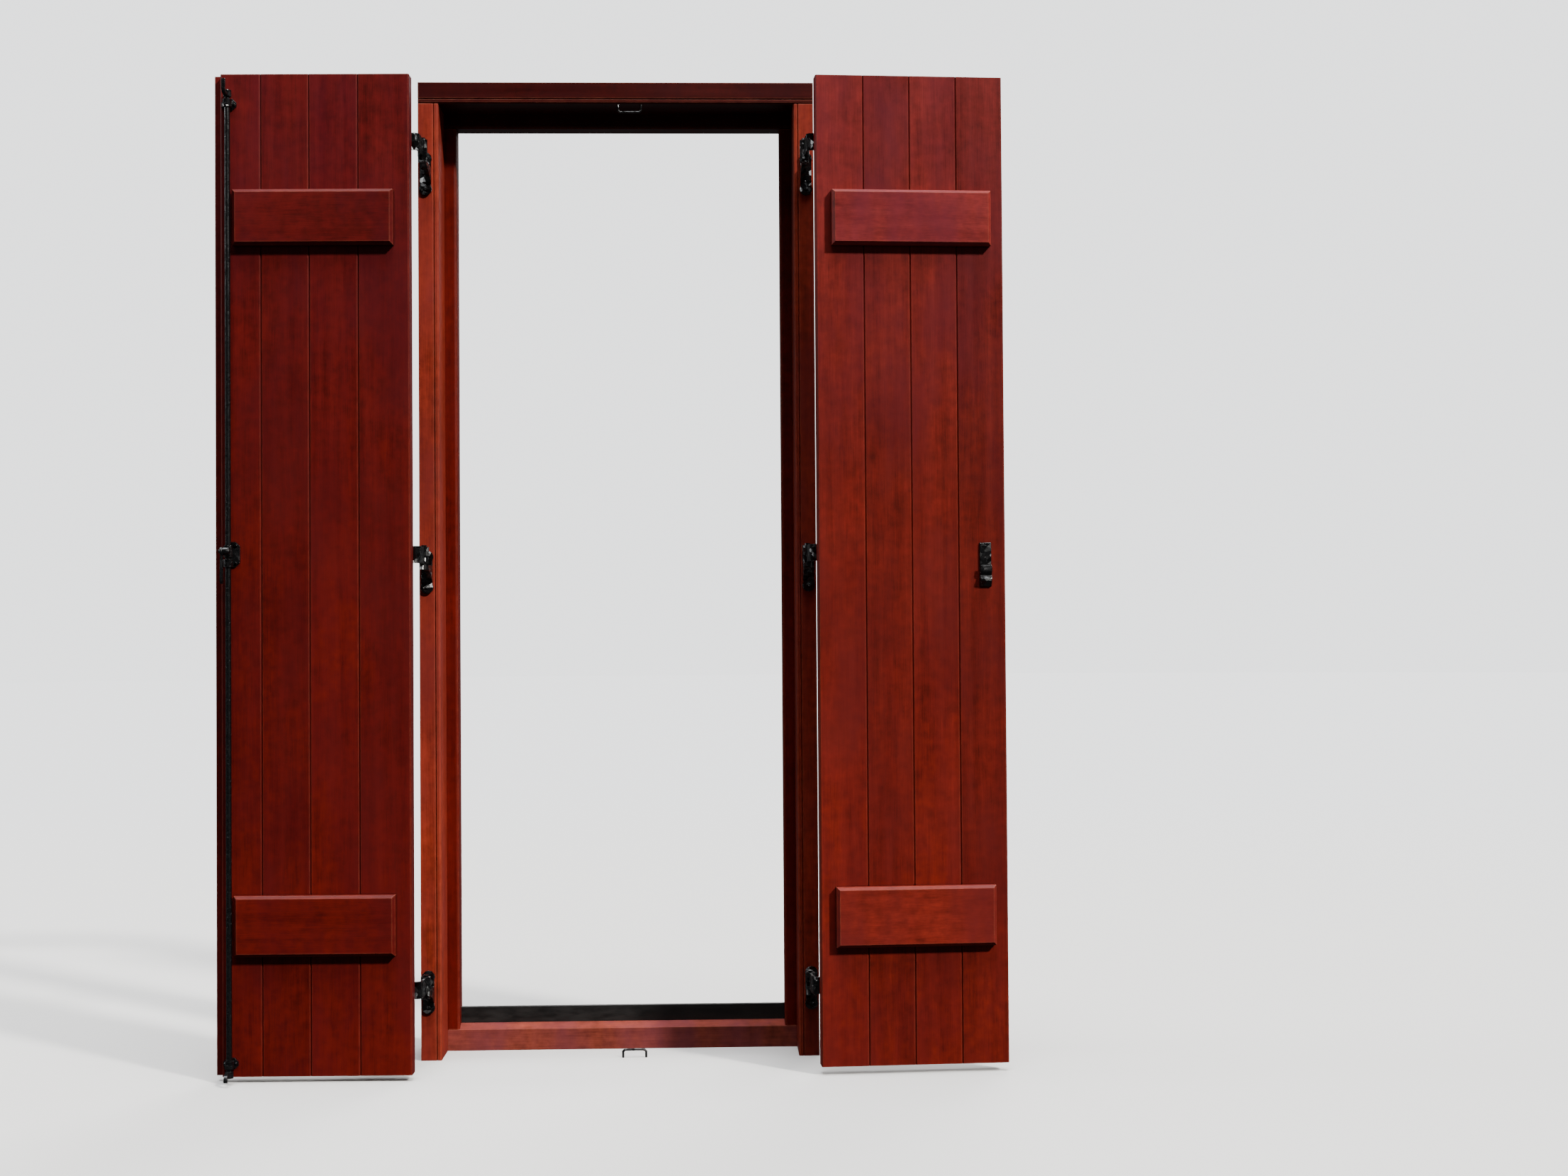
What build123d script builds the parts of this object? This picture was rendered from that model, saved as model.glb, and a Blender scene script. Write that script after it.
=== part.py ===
from build123d import *
import math
import os

# A pair of ledged board shutters hung on a door-high casing, with the window frame behind it.
# Units are millimetres. Seen from outside, X runs to the right, Y into the building and Z up.
# The origin is the centre of the underside of the window frame's bottom rail.
# The leaves are drawn closed and then swung open to the angles at which they rest.

# Casing: the outer frame that carries the shutters
CASING_WIDTH = 874.0
CASING_HEIGHT = 2154.0
CASING_DEPTH = 110.0
CASING_JAMB_FACE = 45.0
CASING_HEAD_FACE = 47.0
CASING_ARRIS = 3.0
BEAD_WIDTH = 9.0
BEAD_GROOVE = 3.0

# Window frame: stands behind the casing and laps into its opening
WINDOW_DEPTH = 68.0
WINDOW_LIP = 27.0
WINDOW_HEAD_LIP = 31.0
WINDOW_ARRIS = 5.0
WINDOW_ARRIS_INSET = 1.5
SASH_REBATE_DEPTH = 18.0
SASH_REBATE_WIDTH = 12.0
SILL_RAIL_FRONT = 47.0
SILL_RAIL_RISE = 10.0
SILL_RAIL_SLOPE_DEPTH = 30.0
THRESHOLD_HEIGHT = 35.0
THRESHOLD_DEPTH = 14.0
THRESHOLD_WALL = 3.0
THRESHOLD_SETBACK = 2.0
FIXING_HOLE_RADIUS = 4.0
FIXING_HOLE_COUNT = 4
FIXING_HOLE_RISE = 282.0
FIXING_HOLE_DROP = 204.0
FIXING_HOLE_Y = -8.0

# Leaves of tongued and grooved boards
LEAF_THICKNESS = 40.0
LEAF_HEAD_OVERLAP = 10.0
LEAF_SIDE_OVERLAP = 8.5
LEFT_SILL_GAP = 13.0
RIGHT_SILL_GAP = 18.0
LEAF_FRAME_GAP = 1.5
MEETING_GAP = 5.0
MEETING_OFFSET = 2.0
MEETING_TONGUE = 16.0
MEETING_TONGUE_GAP = 6.0
MEETING_LAP_GAP = 1.0
LEFT_BOARD_WIDTHS = (103.0, 101.0, 84.0)
RIGHT_BOARD_WIDTHS = (99.0, 100.0, 100.0)
BOARD_CHAMFER = 2.2
BOARD_TONGUE_LENGTH = 7.0
BOARD_TONGUE_THICKNESS = 10.0
BOARD_GROOVE_PLAY = 0.5
LEFT_REST_ANGLE = 181.3
RIGHT_REST_ANGLE = 183.5

# Battens on the leaves' inner faces
UPPER_BATTEN_HEIGHT = 117.0
LOWER_BATTEN_HEIGHT = 127.0
BATTEN_THICKNESS = 22.0
BATTEN_CHAMFER = 6.0
BATTEN_HINGE_MARGIN = 32.0
BATTEN_FREE_MARGIN = 28.0
BATTEN_TOP_DROP = 305.0
BATTEN_BOTTOM_RISE = 315.0

# Hinges: a pintle bracket on the casing and a cranked strap on the leaf
PIVOT_FORWARD = 112.0
PIVOT_OUTBOARD = 12.0
HINGE_BOTTOM_RISE = 183.0
HINGE_TOP_DROP = 124.0
HINGE_MIDDLE_RAISE = 21.0
PIN_RADIUS = 6.0
PIN_PLAY = 0.05
PIN_PROUD = 4.0
EYE_WALL = 4.5
EYE_HEIGHT = 36.0
EYE_LIFT = 0.3
STRAP_THICKNESS = 5.0
STRAP_LENGTH = 230.0
STRAP_TIP_HEIGHT = 20.0
STRAP_BEND_RADIUS = 9.0
PLATE_WIDTH = 28.0
PLATE_HEIGHT = 95.0
PLATE_THICKNESS = 6.0
PLATE_DROP = 33.0
PLATE_MARGIN = 3.0
PLATE_NECK = 24.0
ARM_WIDTH = 10.0
ARM_TIP_HEIGHT = 10.0
ARM_ROOT_HEIGHT = 38.0
ARM_SAG = 9.0
ARM_DROP = 1.0
BOSS_RADIUS = 9.5
BOSS_HEIGHT = 12.0

# Screws: hammered heads on square shanks
SCREW_HEAD_RADIUS = 5.0
SCREW_HEAD_HEIGHT = 2.6
HEAD_TAPER = 35.0
SCREW_SIDES = 6
SHANK_RADIUS = 2.4
SHANK_SIDES = 4
SCREW_GRIP = 18.0
STRAP_SCREWS = (48.0, 118.0, 188.0)
BATTEN_SCREW_GRIP = 12.0
BATTEN_SCREW_STAGGER = 30.0

# Forged pieces have flats from the hammer, and their bores are cut past their ends
FORGED_SIDES = 12
CUT_PAST = 1.0

# Locking rod on the left leaf, with its guides and end hooks
ROD_RADIUS = 6.0
ROD_FROM_STEP = 18.5
ROD_FROM_FACE = 17.0
ROD_PLAY = 0.08
FIXED_PLAY = 0.03
GUIDE_TOP_DROP = 65.0
GUIDE_BOTTOM_RISE = 28.0
GUIDE_WIDTH = 31.0
GUIDE_HEIGHT = 24.0
GUIDE_BOSS_HEIGHT = 16.0
GUIDE_PLATE = 3.5
GUIDE_WALL = 3.5
GUIDE_WEB = 14.0
GUIDE_CORNER = 8.0
GUIDE_SCREW_OFFSET = 11.5
GUIDE_SCREW_HEAD = 3.8
MIDDLE_GUIDE_RISE = 20.0
MIDDLE_GUIDE_CORNER = 9.0
MIDDLE_GUIDE_HEIGHT = 53.0
MIDDLE_GUIDE_REACH = 21.0
MIDDLE_GUIDE_LAP = 7.0
MIDDLE_GUIDE_SCREW_INSET = 8.0
HOOK_COLLAR_RADIUS = 9.0
HOOK_COLLAR_HEIGHT = 14.0
HOOK_COLLAR_GAP = 1.0
HOOK_REACH = 36.0
HOOK_BAR = 6.5
HOOK_THICKNESS = 7.0
HOOK_BEND_RADIUS = 8.0
HOOK_ARM_SHIFT = 3.0
HOOK_ENGAGEMENT = 9.0

# Lever handle, hinged on a collar of the rod
LEVER_PIVOT_HEIGHT = 1111.0
LEVER_PIVOT_FORWARD = 18.0
LEVER_OFFSET = 9.5
LEVER_THICKNESS = 5.0
LEVER_LENGTH = 68.0
LEVER_NECK = 8.0
LEVER_WIDTH = 13.0
LEVER_EYE_RADIUS = 8.5
LEVER_PLAY = 0.5
COLLAR_WALL = 3.0
COLLAR_HEIGHT = 24.0
LUG_NOSE = 8.0
BOLT_RADIUS = 3.5
BOLT_HEAD_RADIUS = 6.0
BOLT_HEAD = 3.2
RIVET_RADIUS = 5.0
RIVET_HEIGHT = 1.6

# Catch for the lever, on the right leaf
CATCH_FROM_EDGE = 43.0
CATCH_WIDTH = 24.0
CATCH_RISE = 63.0
CATCH_TAIL = 30.0
CATCH_PLATE = 4.2
CATCH_POCKET = 6.4
CATCH_LIP = 3.0
CATCH_FLOOR_GAP = 8.0
CATCH_LIP_HEIGHT = 15.0
CATCH_EDGE = 1.0
CATCH_SLOPE = 8.0
CATCH_LAND = 4.0
CATCH_VALLEY = 4.8
CATCH_RIDGE_PITCH = 20.0
CATCH_SCREWS = (28.0, 53.0)

# Keeper staples that the end hooks turn behind
STAPLE_RADIUS = 2.5
STAPLE_HEIGHT = 20.0
STAPLE_NEAR_POST = 4.5
STAPLE_SPAN = 50.5
STAPLE_BEHIND_FRONT = 6.0
STAPLE_TANG = 14.0
STAPLE_SIDES = 8
STAPLE_KNEE = 4.0

# Lines worked out from the sizes above
LEFT, RIGHT = -1, 1
WINDOW_FRONT = -WINDOW_DEPTH / 2
CASING_FRONT = WINDOW_FRONT - CASING_DEPTH
CASING_CLEAR = CASING_WIDTH / 2 - CASING_JAMB_FACE
HEAD_UNDERSIDE = CASING_HEIGHT - CASING_HEAD_FACE
WINDOW_CLEAR = CASING_CLEAR - WINDOW_LIP
WINDOW_HEAD_UNDERSIDE = HEAD_UNDERSIDE - WINDOW_HEAD_LIP
SILL_RAIL_TOP = SILL_RAIL_FRONT + SILL_RAIL_RISE
LEAF_TOP = HEAD_UNDERSIDE + LEAF_HEAD_OVERLAP
LEAF_EDGE = CASING_CLEAR + LEAF_SIDE_OVERLAP
LEAF_FACE = CASING_FRONT - LEAF_FRAME_GAP
LEAF_WIDTHS = {
    LEFT: LEAF_EDGE - MEETING_GAP / 2 - MEETING_OFFSET,
    RIGHT: LEAF_EDGE - MEETING_GAP / 2 + MEETING_OFFSET,
}
BOARD_WIDTHS = {LEFT: LEFT_BOARD_WIDTHS, RIGHT: RIGHT_BOARD_WIDTHS}
LEAF_FEET = {LEFT: LEFT_SILL_GAP, RIGHT: RIGHT_SILL_GAP}
PIVOT_X = LEAF_EDGE + PIVOT_OUTBOARD
PIVOT_Y = CASING_FRONT - PIVOT_FORWARD
HINGE_TOP = HEAD_UNDERSIDE - HINGE_TOP_DROP
HINGE_HEIGHTS = {
    "bottom": HINGE_BOTTOM_RISE,
    "middle": (HINGE_BOTTOM_RISE + HINGE_TOP) / 2 + HINGE_MIDDLE_RAISE,
    "top": HINGE_TOP,
}
SHOULDER_DROP = EYE_HEIGHT / 2 + EYE_LIFT
ROD_U = LEAF_WIDTHS[LEFT] - ROD_FROM_STEP
ROD_X = ROD_U - LEAF_EDGE
ROD_Y = LEAF_FACE + ROD_FROM_FACE
TOP_GUIDE = LEAF_TOP - GUIDE_TOP_DROP
BOTTOM_GUIDE = LEFT_SILL_GAP + GUIDE_BOTTOM_RISE
COLLAR_STAND_OFF = GUIDE_HEIGHT / 2 + HOOK_COLLAR_GAP + HOOK_COLLAR_HEIGHT / 2
TOP_COLLAR = TOP_GUIDE + COLLAR_STAND_OFF
BOTTOM_COLLAR = BOTTOM_GUIDE - COLLAR_STAND_OFF
STAPLE_Y = CASING_FRONT + STAPLE_BEHIND_FRONT
MIDDLE_GUIDE_TOP = LEVER_PIVOT_HEIGHT + MIDDLE_GUIDE_RISE
CATCH_X = LEAF_EDGE - LEAF_WIDTHS[RIGHT] + CATCH_FROM_EDGE
LEVER_REACH = LEVER_LENGTH - LEVER_WIDTH / 2
LOCKED_ACROSS = CATCH_X - ROD_X - LEVER_PIVOT_FORWARD
LOCKED_DROP = math.sqrt(LEVER_REACH ** 2 - LOCKED_ACROSS ** 2)
CATCH_FLOOR = LEVER_PIVOT_HEIGHT - LOCKED_DROP - LEVER_WIDTH / 2 - CATCH_FLOOR_GAP


# Shapes that several pieces use

def block(x, y, z):
    """A box given by its ranges."""
    size = [high - low for low, high in (x, y, z)]
    middle = [(high + low) / 2 for low, high in (x, y, z)]
    return Pos(*middle) * Box(*size)


def outline(points):
    return make_face(Polyline(*points, close=True))


def column(points, low, high):
    """A plan outline in X and Y, extruded between two heights."""
    return extrude(Plane.XY.offset(low) * outline(points), amount=high - low, dir=(0, 0, 1))


def rail(points, low, high):
    """A section in Y and Z, extruded along X."""
    return extrude(Plane.YZ.offset(low) * outline(points), amount=high - low, dir=(1, 0, 0))


def upright(radius, x, y, low, high):
    """A round bar that stands upright."""
    return Pos(x, y, (low + high) / 2) * Cylinder(radius, high - low)


def on_side(shape, side):
    """A shape drawn on the left, or its mirror image on the right."""
    return shape if side == LEFT else mirror(shape, about=Plane.YZ)


def swing(shape, side):
    """Turn what is drawn on a closed leaf to the angle at which the leaf rests."""
    angle = -LEFT_REST_ANGLE if side == LEFT else RIGHT_REST_ANGLE
    x = side * PIVOT_X
    return Pos(x, PIVOT_Y, 0) * Rot(0, 0, angle) * Pos(-x, -PIVOT_Y, 0) * shape


def leaf_x(u, side):
    """X of a point that lies u from a closed leaf's hinge edge."""
    return side * (LEAF_EDGE - u)


def forged(radius, x, y, low, high):
    """An upright bar or collar with the flats of a forged piece."""
    return extrude(Plane((x, y, low)) * RegularPolygon(radius, FORGED_SIDES), amount=high - low)


def button(seat, radius, height, sides):
    """A head that narrows from its seat to a flat crown."""
    return seat.location * extrude(RegularPolygon(radius, sides), amount=height, taper=HEAD_TAPER)


def screw(x, y, z, facing, grip, head=SCREW_HEAD_RADIUS, flush=False):
    """A screw whose head faces along Y, with its seat at the given point."""
    outward = Plane(origin=(x, y, z), x_dir=(1, 0, 0), z_dir=(0, facing, 0))
    inward = Plane(origin=(x, y, z), x_dir=(1, 0, 0), z_dir=(0, -facing, 0))
    shank = inward.location * extrude(RegularPolygon(SHANK_RADIUS, SHANK_SIDES), amount=grip)
    return shank + button(inward if flush else outward, head, SCREW_HEAD_HEIGHT, SCREW_SIDES)


def drilled(shape, screws):
    """The shape with room for the screws that pass through it."""
    for each in screws:
        shape = shape - each
    return shape


# Frame

def casing_section():
    """Section of the casing as pairs: distance from the opening, and Y."""
    groove = BEAD_WIDTH
    return [
        (CASING_ARRIS, CASING_FRONT),
        (groove, CASING_FRONT),
        (groove + BEAD_GROOVE / 2, CASING_FRONT + BEAD_GROOVE),
        (groove + BEAD_GROOVE, CASING_FRONT),
    ]


def casing_jamb(side):
    front = [(-CASING_CLEAR - away, y) for away, y in casing_section()]
    back = [(-CASING_WIDTH / 2, CASING_FRONT), (-CASING_WIDTH / 2, WINDOW_FRONT)]
    inner = [(-CASING_CLEAR, WINDOW_FRONT), (-CASING_CLEAR, CASING_FRONT + CASING_ARRIS)]
    return on_side(column(front + back + inner, 0, HEAD_UNDERSIDE), side)


def casing_head(screws):
    front = [(y, HEAD_UNDERSIDE + away) for away, y in casing_section()]
    back = [(CASING_FRONT, CASING_HEIGHT), (WINDOW_FRONT, CASING_HEIGHT)]
    under = [(WINDOW_FRONT, HEAD_UNDERSIDE), (CASING_FRONT + CASING_ARRIS, HEAD_UNDERSIDE)]
    return drilled(rail(front + back + under, -CASING_WIDTH / 2, CASING_WIDTH / 2), screws)


def window_section(face):
    """Section of the window frame as pairs: distance from the opening, and Y."""
    back = -WINDOW_FRONT
    return [
        (WINDOW_ARRIS, WINDOW_FRONT),
        (face, WINDOW_FRONT),
        (face, back),
        (SASH_REBATE_WIDTH, back),
        (SASH_REBATE_WIDTH, back - SASH_REBATE_DEPTH),
        (0, back - SASH_REBATE_DEPTH),
        (0, WINDOW_FRONT + WINDOW_ARRIS),
        (WINDOW_ARRIS_INSET, WINDOW_FRONT + WINDOW_ARRIS_INSET),
    ]


def fixing_holes():
    """Bars where screws go through the window jambs into the wall."""
    lowest, highest = FIXING_HOLE_RISE, WINDOW_HEAD_UNDERSIDE - FIXING_HOLE_DROP
    spacing = (highest - lowest) / (FIXING_HOLE_COUNT - 1)
    heights = [lowest + step * spacing for step in range(FIXING_HOLE_COUNT)]
    bar = Rot(0, 90, 0) * Cylinder(FIXING_HOLE_RADIUS, CASING_WIDTH)
    return [Pos(0, FIXING_HOLE_Y, z) * bar for z in heights]


def window_jamb(side):
    """A jamb that stands on the sill rail."""
    face = CASING_WIDTH / 2 - WINDOW_CLEAR
    points = [(-WINDOW_CLEAR - away, y) for away, y in window_section(face)]
    jamb = column(points, 0, WINDOW_HEAD_UNDERSIDE) - sill_rail()
    return on_side(drilled(jamb, fixing_holes()), side)


def window_head():
    face = CASING_HEIGHT - WINDOW_HEAD_UNDERSIDE
    points = [(y, WINDOW_HEAD_UNDERSIDE + away) for away, y in window_section(face)]
    return rail(points, -CASING_WIDTH / 2, CASING_WIDTH / 2)


def sill_rail():
    section = [
        (WINDOW_FRONT, 0),
        (WINDOW_FRONT, SILL_RAIL_FRONT),
        (WINDOW_FRONT + SILL_RAIL_SLOPE_DEPTH, SILL_RAIL_TOP),
        (-WINDOW_FRONT, SILL_RAIL_TOP),
        (-WINDOW_FRONT, 0),
    ]
    return rail(section, -CASING_WIDTH / 2, CASING_WIDTH / 2)


def threshold_strip():
    """A channel that stands on the sill rail, open towards the room."""
    front = WINDOW_FRONT + SILL_RAIL_SLOPE_DEPTH + THRESHOLD_SETBACK
    back = front + THRESHOLD_DEPTH
    top = SILL_RAIL_TOP + THRESHOLD_HEIGHT
    x = (-WINDOW_CLEAR, WINDOW_CLEAR)
    inside = (SILL_RAIL_TOP + THRESHOLD_WALL, top - THRESHOLD_WALL)
    body = block(x, (front, back), (SILL_RAIL_TOP, top))
    return body - block(x, (front + THRESHOLD_WALL, back), inside)


# Leaves

def free_edge(u, side):
    """The meeting edge: a tongue on the left leaf, and a rebate for it on the right one."""
    middle = LEAF_THICKNESS / 2
    if side == LEFT:
        lap, step = middle, u + MEETING_TONGUE
    else:
        lap = middle - MEETING_LAP_GAP
        step = u - (MEETING_TONGUE - MEETING_GAP + MEETING_TONGUE_GAP)
    return [
        (u - BOARD_CHAMFER, 0),
        (u, BOARD_CHAMFER),
        (u, lap),
        (step, lap),
        (step, LEAF_THICKNESS - BOARD_CHAMFER),
        (step - BOARD_CHAMFER, LEAF_THICKNESS),
    ]


def joint_edge(u, length, toward):
    """A board's edge with its V chamfers, and a tongue or a groove of the given length."""
    low = (LEAF_THICKNESS - BOARD_TONGUE_THICKNESS) / 2
    high = low + BOARD_TONGUE_THICKNESS
    points = [(u - toward * BOARD_CHAMFER, 0), (u, BOARD_CHAMFER)]
    if length:
        points += [(u, low), (u + length, low), (u + length, high), (u, high)]
    points += [(u, LEAF_THICKNESS - BOARD_CHAMFER), (u - toward * BOARD_CHAMFER, LEAF_THICKNESS)]
    return points


def boards(side, screws):
    """The boards of a closed leaf, from the hinge edge to the free edge."""
    width = LEAF_WIDTHS[side]
    others = BOARD_WIDTHS[side]
    edges = [0.0]
    for each in (width - sum(others),) + others:
        edges.append(edges[-1] + each)
    made = []
    last = len(edges) - 2
    for number in range(last + 1):
        groove = BOARD_TONGUE_LENGTH + BOARD_GROOVE_PLAY if number > 0 else 0
        near = joint_edge(edges[number], groove, -1)
        far_u = edges[number + 1]
        far = free_edge(far_u, side) if number == last else joint_edge(far_u, BOARD_TONGUE_LENGTH, 1)
        points = [(leaf_x(u, side), LEAF_FACE - v) for u, v in far + near[::-1]]
        made.append(drilled(column(points, LEAF_FEET[side], LEAF_TOP), screws))
    return made


def board_middles(side):
    """Distances of the boards' middles from the hinge edge."""
    others = BOARD_WIDTHS[side]
    edge = 0.0
    middles = []
    for each in (LEAF_WIDTHS[side] - sum(others),) + others:
        middles.append(edge + each / 2)
        edge += each
    return middles


def battens(side):
    """The middle height and the height of each batten of a leaf."""
    return {
        "upper": (LEAF_TOP - BATTEN_TOP_DROP, UPPER_BATTEN_HEIGHT),
        "lower": (LEAF_FEET[side] + BATTEN_BOTTOM_RISE, LOWER_BATTEN_HEIGHT),
    }


def batten(side, middle, height, screws):
    """A batten with all the edges of its visible face chamfered."""
    near = leaf_x(BATTEN_HINGE_MARGIN, side)
    far = leaf_x(LEAF_WIDTHS[side] - BATTEN_FREE_MARGIN, side)
    span = (min(near, far), max(near, far))
    depth = (LEAF_FACE, LEAF_FACE + BATTEN_THICKNESS)
    body = block(span, depth, (middle - height / 2, middle + height / 2))
    front = body.faces().sort_by(Axis.Y)[-1]
    return drilled(chamfer(front.edges(), BATTEN_CHAMFER), screws)


def batten_screws(side):
    """Screws from the outer face, one for each board and batten, staggered in height."""
    made = []
    grip = LEAF_THICKNESS + BATTEN_SCREW_GRIP
    for middle, _ in battens(side).values():
        for number, u in enumerate(board_middles(side)):
            z = middle + BATTEN_SCREW_STAGGER * (1 if number % 2 else -1)
            made.append(screw(leaf_x(u, side), LEAF_FACE - LEAF_THICKNESS, z, -1, grip))
    return made


# Hinges

def strap_screws(side):
    """Screws through the legs of a leaf's straps."""
    seat = LEAF_FACE - LEAF_THICKNESS - STRAP_THICKNESS
    grip = STRAP_THICKNESS + SCREW_GRIP
    places = [(u, z) for z in HINGE_HEIGHTS.values() for u in STRAP_SCREWS]
    return [screw(leaf_x(u, side), seat, z, -1, grip) for u, z in places]


def strap(side, height, screws):
    """A cranked strap: an eye on the pin, an arm back to the leaf and a tapered leg along it."""
    leg_y = LEAF_FACE - LEAF_THICKNESS - STRAP_THICKNESS / 2
    end = STRAP_LENGTH - LEAF_EDGE
    line = FilletPolyline((end, leg_y), (-PIVOT_X, leg_y), (-PIVOT_X, PIVOT_Y), radius=STRAP_BEND_RADIUS)
    bent = extrude(trace(line, line_width=STRAP_THICKNESS), amount=EYE_HEIGHT, dir=(0, 0, 1))
    bent = Pos(0, 0, height - EYE_HEIGHT / 2) * bent
    tip = STRAP_TIP_HEIGHT / 2
    root = EYE_HEIGHT / 2
    side_view = Polyline(
        (-CASING_WIDTH, -root), (-LEAF_EDGE, -root), (end - tip, -tip),
        (end - tip, tip), (-LEAF_EDGE, root), (-CASING_WIDTH, root), close=True)
    shape = make_face(side_view) + Pos(end - tip, 0) * RegularPolygon(tip, FORGED_SIDES)
    cutter = extrude(Plane.XZ * shape, amount=PIVOT_FORWARD * 2, both=True)
    bent = bent & (Pos(0, PIVOT_Y, height) * cutter)
    low, high = height - EYE_HEIGHT / 2, height + EYE_HEIGHT / 2
    eye = forged(PIN_RADIUS + PIN_PLAY + EYE_WALL, -PIVOT_X, PIVOT_Y, low, high)
    bore = upright(PIN_RADIUS + PIN_PLAY, -PIVOT_X, PIVOT_Y, low - CUT_PAST, high + CUT_PAST)
    return drilled(on_side(bent + eye - bore, side), screws)


def bracket_screws(side):
    """Two screws in the lobes of each bracket's plate."""
    x = side * (CASING_WIDTH / 2 - PLATE_MARGIN - PLATE_WIDTH / 2)
    reach = (PLATE_HEIGHT - PLATE_WIDTH) / 2
    seat = CASING_FRONT - PLATE_THICKNESS
    grip = PLATE_THICKNESS + SCREW_GRIP
    middles = [height - PLATE_DROP for height in HINGE_HEIGHTS.values()]
    return [screw(x, seat, z + step, -1, grip) for z in middles for step in (-reach, reach)]


def bracket_plate(height):
    """A plate with a forged lobe at each end."""
    reach = (PLATE_HEIGHT - PLATE_WIDTH) / 2
    lobe = RegularPolygon(PLATE_WIDTH / 2, FORGED_SIDES)
    shape = Rectangle(PLATE_NECK, 2 * reach) + Pos(0, reach) * lobe + Pos(0, -reach) * lobe
    x = -(CASING_WIDTH / 2 - PLATE_MARGIN - PLATE_WIDTH / 2)
    seat = Plane(origin=(x, CASING_FRONT, height - PLATE_DROP), x_dir=(1, 0, 0), z_dir=(0, -1, 0))
    return extrude(seat * shape, amount=PLATE_THICKNESS)


def bracket_arm(shoulder):
    """An arm from the plate to the pin, hollowed underneath by an arc."""
    root = CASING_FRONT - PLATE_THICKNESS
    top, tip, foot = shoulder - ARM_DROP, shoulder - ARM_TIP_HEIGHT, shoulder - ARM_ROOT_HEIGHT
    middle = ((PIVOT_Y + root) / 2, (tip + foot) / 2 + ARM_SAG)
    edges = Polyline((root, foot), (root, top), (PIVOT_Y, top), (PIVOT_Y, tip))
    under = ThreePointArc((PIVOT_Y, tip), middle, (root, foot))
    face = Plane.YZ.offset(-PIVOT_X - ARM_WIDTH / 2) * make_face([edges, under])
    return extrude(face, amount=ARM_WIDTH, dir=(1, 0, 0))


def bracket(side, height, screws):
    """A pintle bracket: plate, arm, shoulder and pin forged as one piece."""
    shoulder = height - SHOULDER_DROP
    tip = height + EYE_HEIGHT / 2 + PIN_PROUD
    pin = upright(PIN_RADIUS, -PIVOT_X, PIVOT_Y, shoulder - BOSS_HEIGHT / 2, tip)
    boss = forged(BOSS_RADIUS, -PIVOT_X, PIVOT_Y, shoulder - BOSS_HEIGHT, shoulder)
    shape = bracket_plate(height) + bracket_arm(shoulder) + boss + pin
    return drilled(on_side(shape, side), screws)


# Locking rod

def end_hook(collar, toward, tip):
    """A collar on the rod's end, with a bent finger that reaches inwards and ends at a height."""
    reach = HOOK_REACH - HOOK_BAR / 2
    arm = collar - toward * HOOK_ARM_SHIFT
    path = FilletPolyline((0, arm), (reach, arm), (reach, tip), radius=HOOK_BEND_RADIUS)
    face = Plane(origin=(ROD_X - HOOK_THICKNESS / 2, ROD_Y, 0), x_dir=(0, 1, 0), z_dir=(1, 0, 0))
    finger = extrude(face * trace(path, line_width=HOOK_BAR), amount=HOOK_THICKNESS, dir=(1, 0, 0))
    half = HOOK_COLLAR_HEIGHT / 2
    low, high = collar - half, collar + half
    ring = forged(HOOK_COLLAR_RADIUS, ROD_X, ROD_Y, low, high)
    bore = upright(ROD_RADIUS + FIXED_PLAY, ROD_X, ROD_Y, low - CUT_PAST, high + CUT_PAST)
    return ring + finger - bore


def top_hook():
    return end_hook(TOP_COLLAR, 1, HEAD_UNDERSIDE - STAPLE_HEIGHT + HOOK_ENGAGEMENT)


def bottom_hook():
    return end_hook(BOTTOM_COLLAR, -1, STAPLE_HEIGHT - HOOK_ENGAGEMENT)


def rod():
    half = HOOK_COLLAR_HEIGHT / 2
    return upright(ROD_RADIUS, ROD_X, ROD_Y, BOTTOM_COLLAR - half, TOP_COLLAR + half)


def guide_body(plate, low, high):
    """A plate with a boss that the rod turns in."""
    x = (ROD_X - GUIDE_WEB / 2, ROD_X + GUIDE_WEB / 2)
    web = block(x, (LEAF_FACE, ROD_Y), (low, high))
    boss = forged(ROD_RADIUS + ROD_PLAY + GUIDE_WALL, ROD_X, ROD_Y, low, high)
    bore = upright(ROD_RADIUS + ROD_PLAY, ROD_X, ROD_Y, low - CUT_PAST, high + CUT_PAST)
    return plate + web + boss - bore


def end_guide(middle, screws):
    """A guide with a screw on each side of the rod."""
    half = GUIDE_WIDTH / 2
    depth = (LEAF_FACE, LEAF_FACE + GUIDE_PLATE)
    height = (middle - GUIDE_HEIGHT / 2, middle + GUIDE_HEIGHT / 2)
    plate = block((ROD_X - half, ROD_X + half), depth, height)
    plate = chamfer(plate.edges().filter_by(Axis.Y), GUIDE_CORNER)
    low = middle - GUIDE_BOSS_HEIGHT / 2
    return drilled(guide_body(plate, low, low + GUIDE_BOSS_HEIGHT), screws)


def middle_guide(screws):
    """A guide beside the handle, with its screws on the hinge side of the rod."""
    low = MIDDLE_GUIDE_TOP - MIDDLE_GUIDE_HEIGHT
    x = (ROD_X - MIDDLE_GUIDE_REACH, ROD_X + MIDDLE_GUIDE_LAP)
    plate = block(x, (LEAF_FACE, LEAF_FACE + GUIDE_PLATE), (low, MIDDLE_GUIDE_TOP))
    corners = plate.edges().filter_by(Axis.Y).sort_by(Axis.X)[:2]
    plate = chamfer(corners, MIDDLE_GUIDE_CORNER)
    return drilled(guide_body(plate, low, low + GUIDE_BOSS_HEIGHT), screws)


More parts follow.
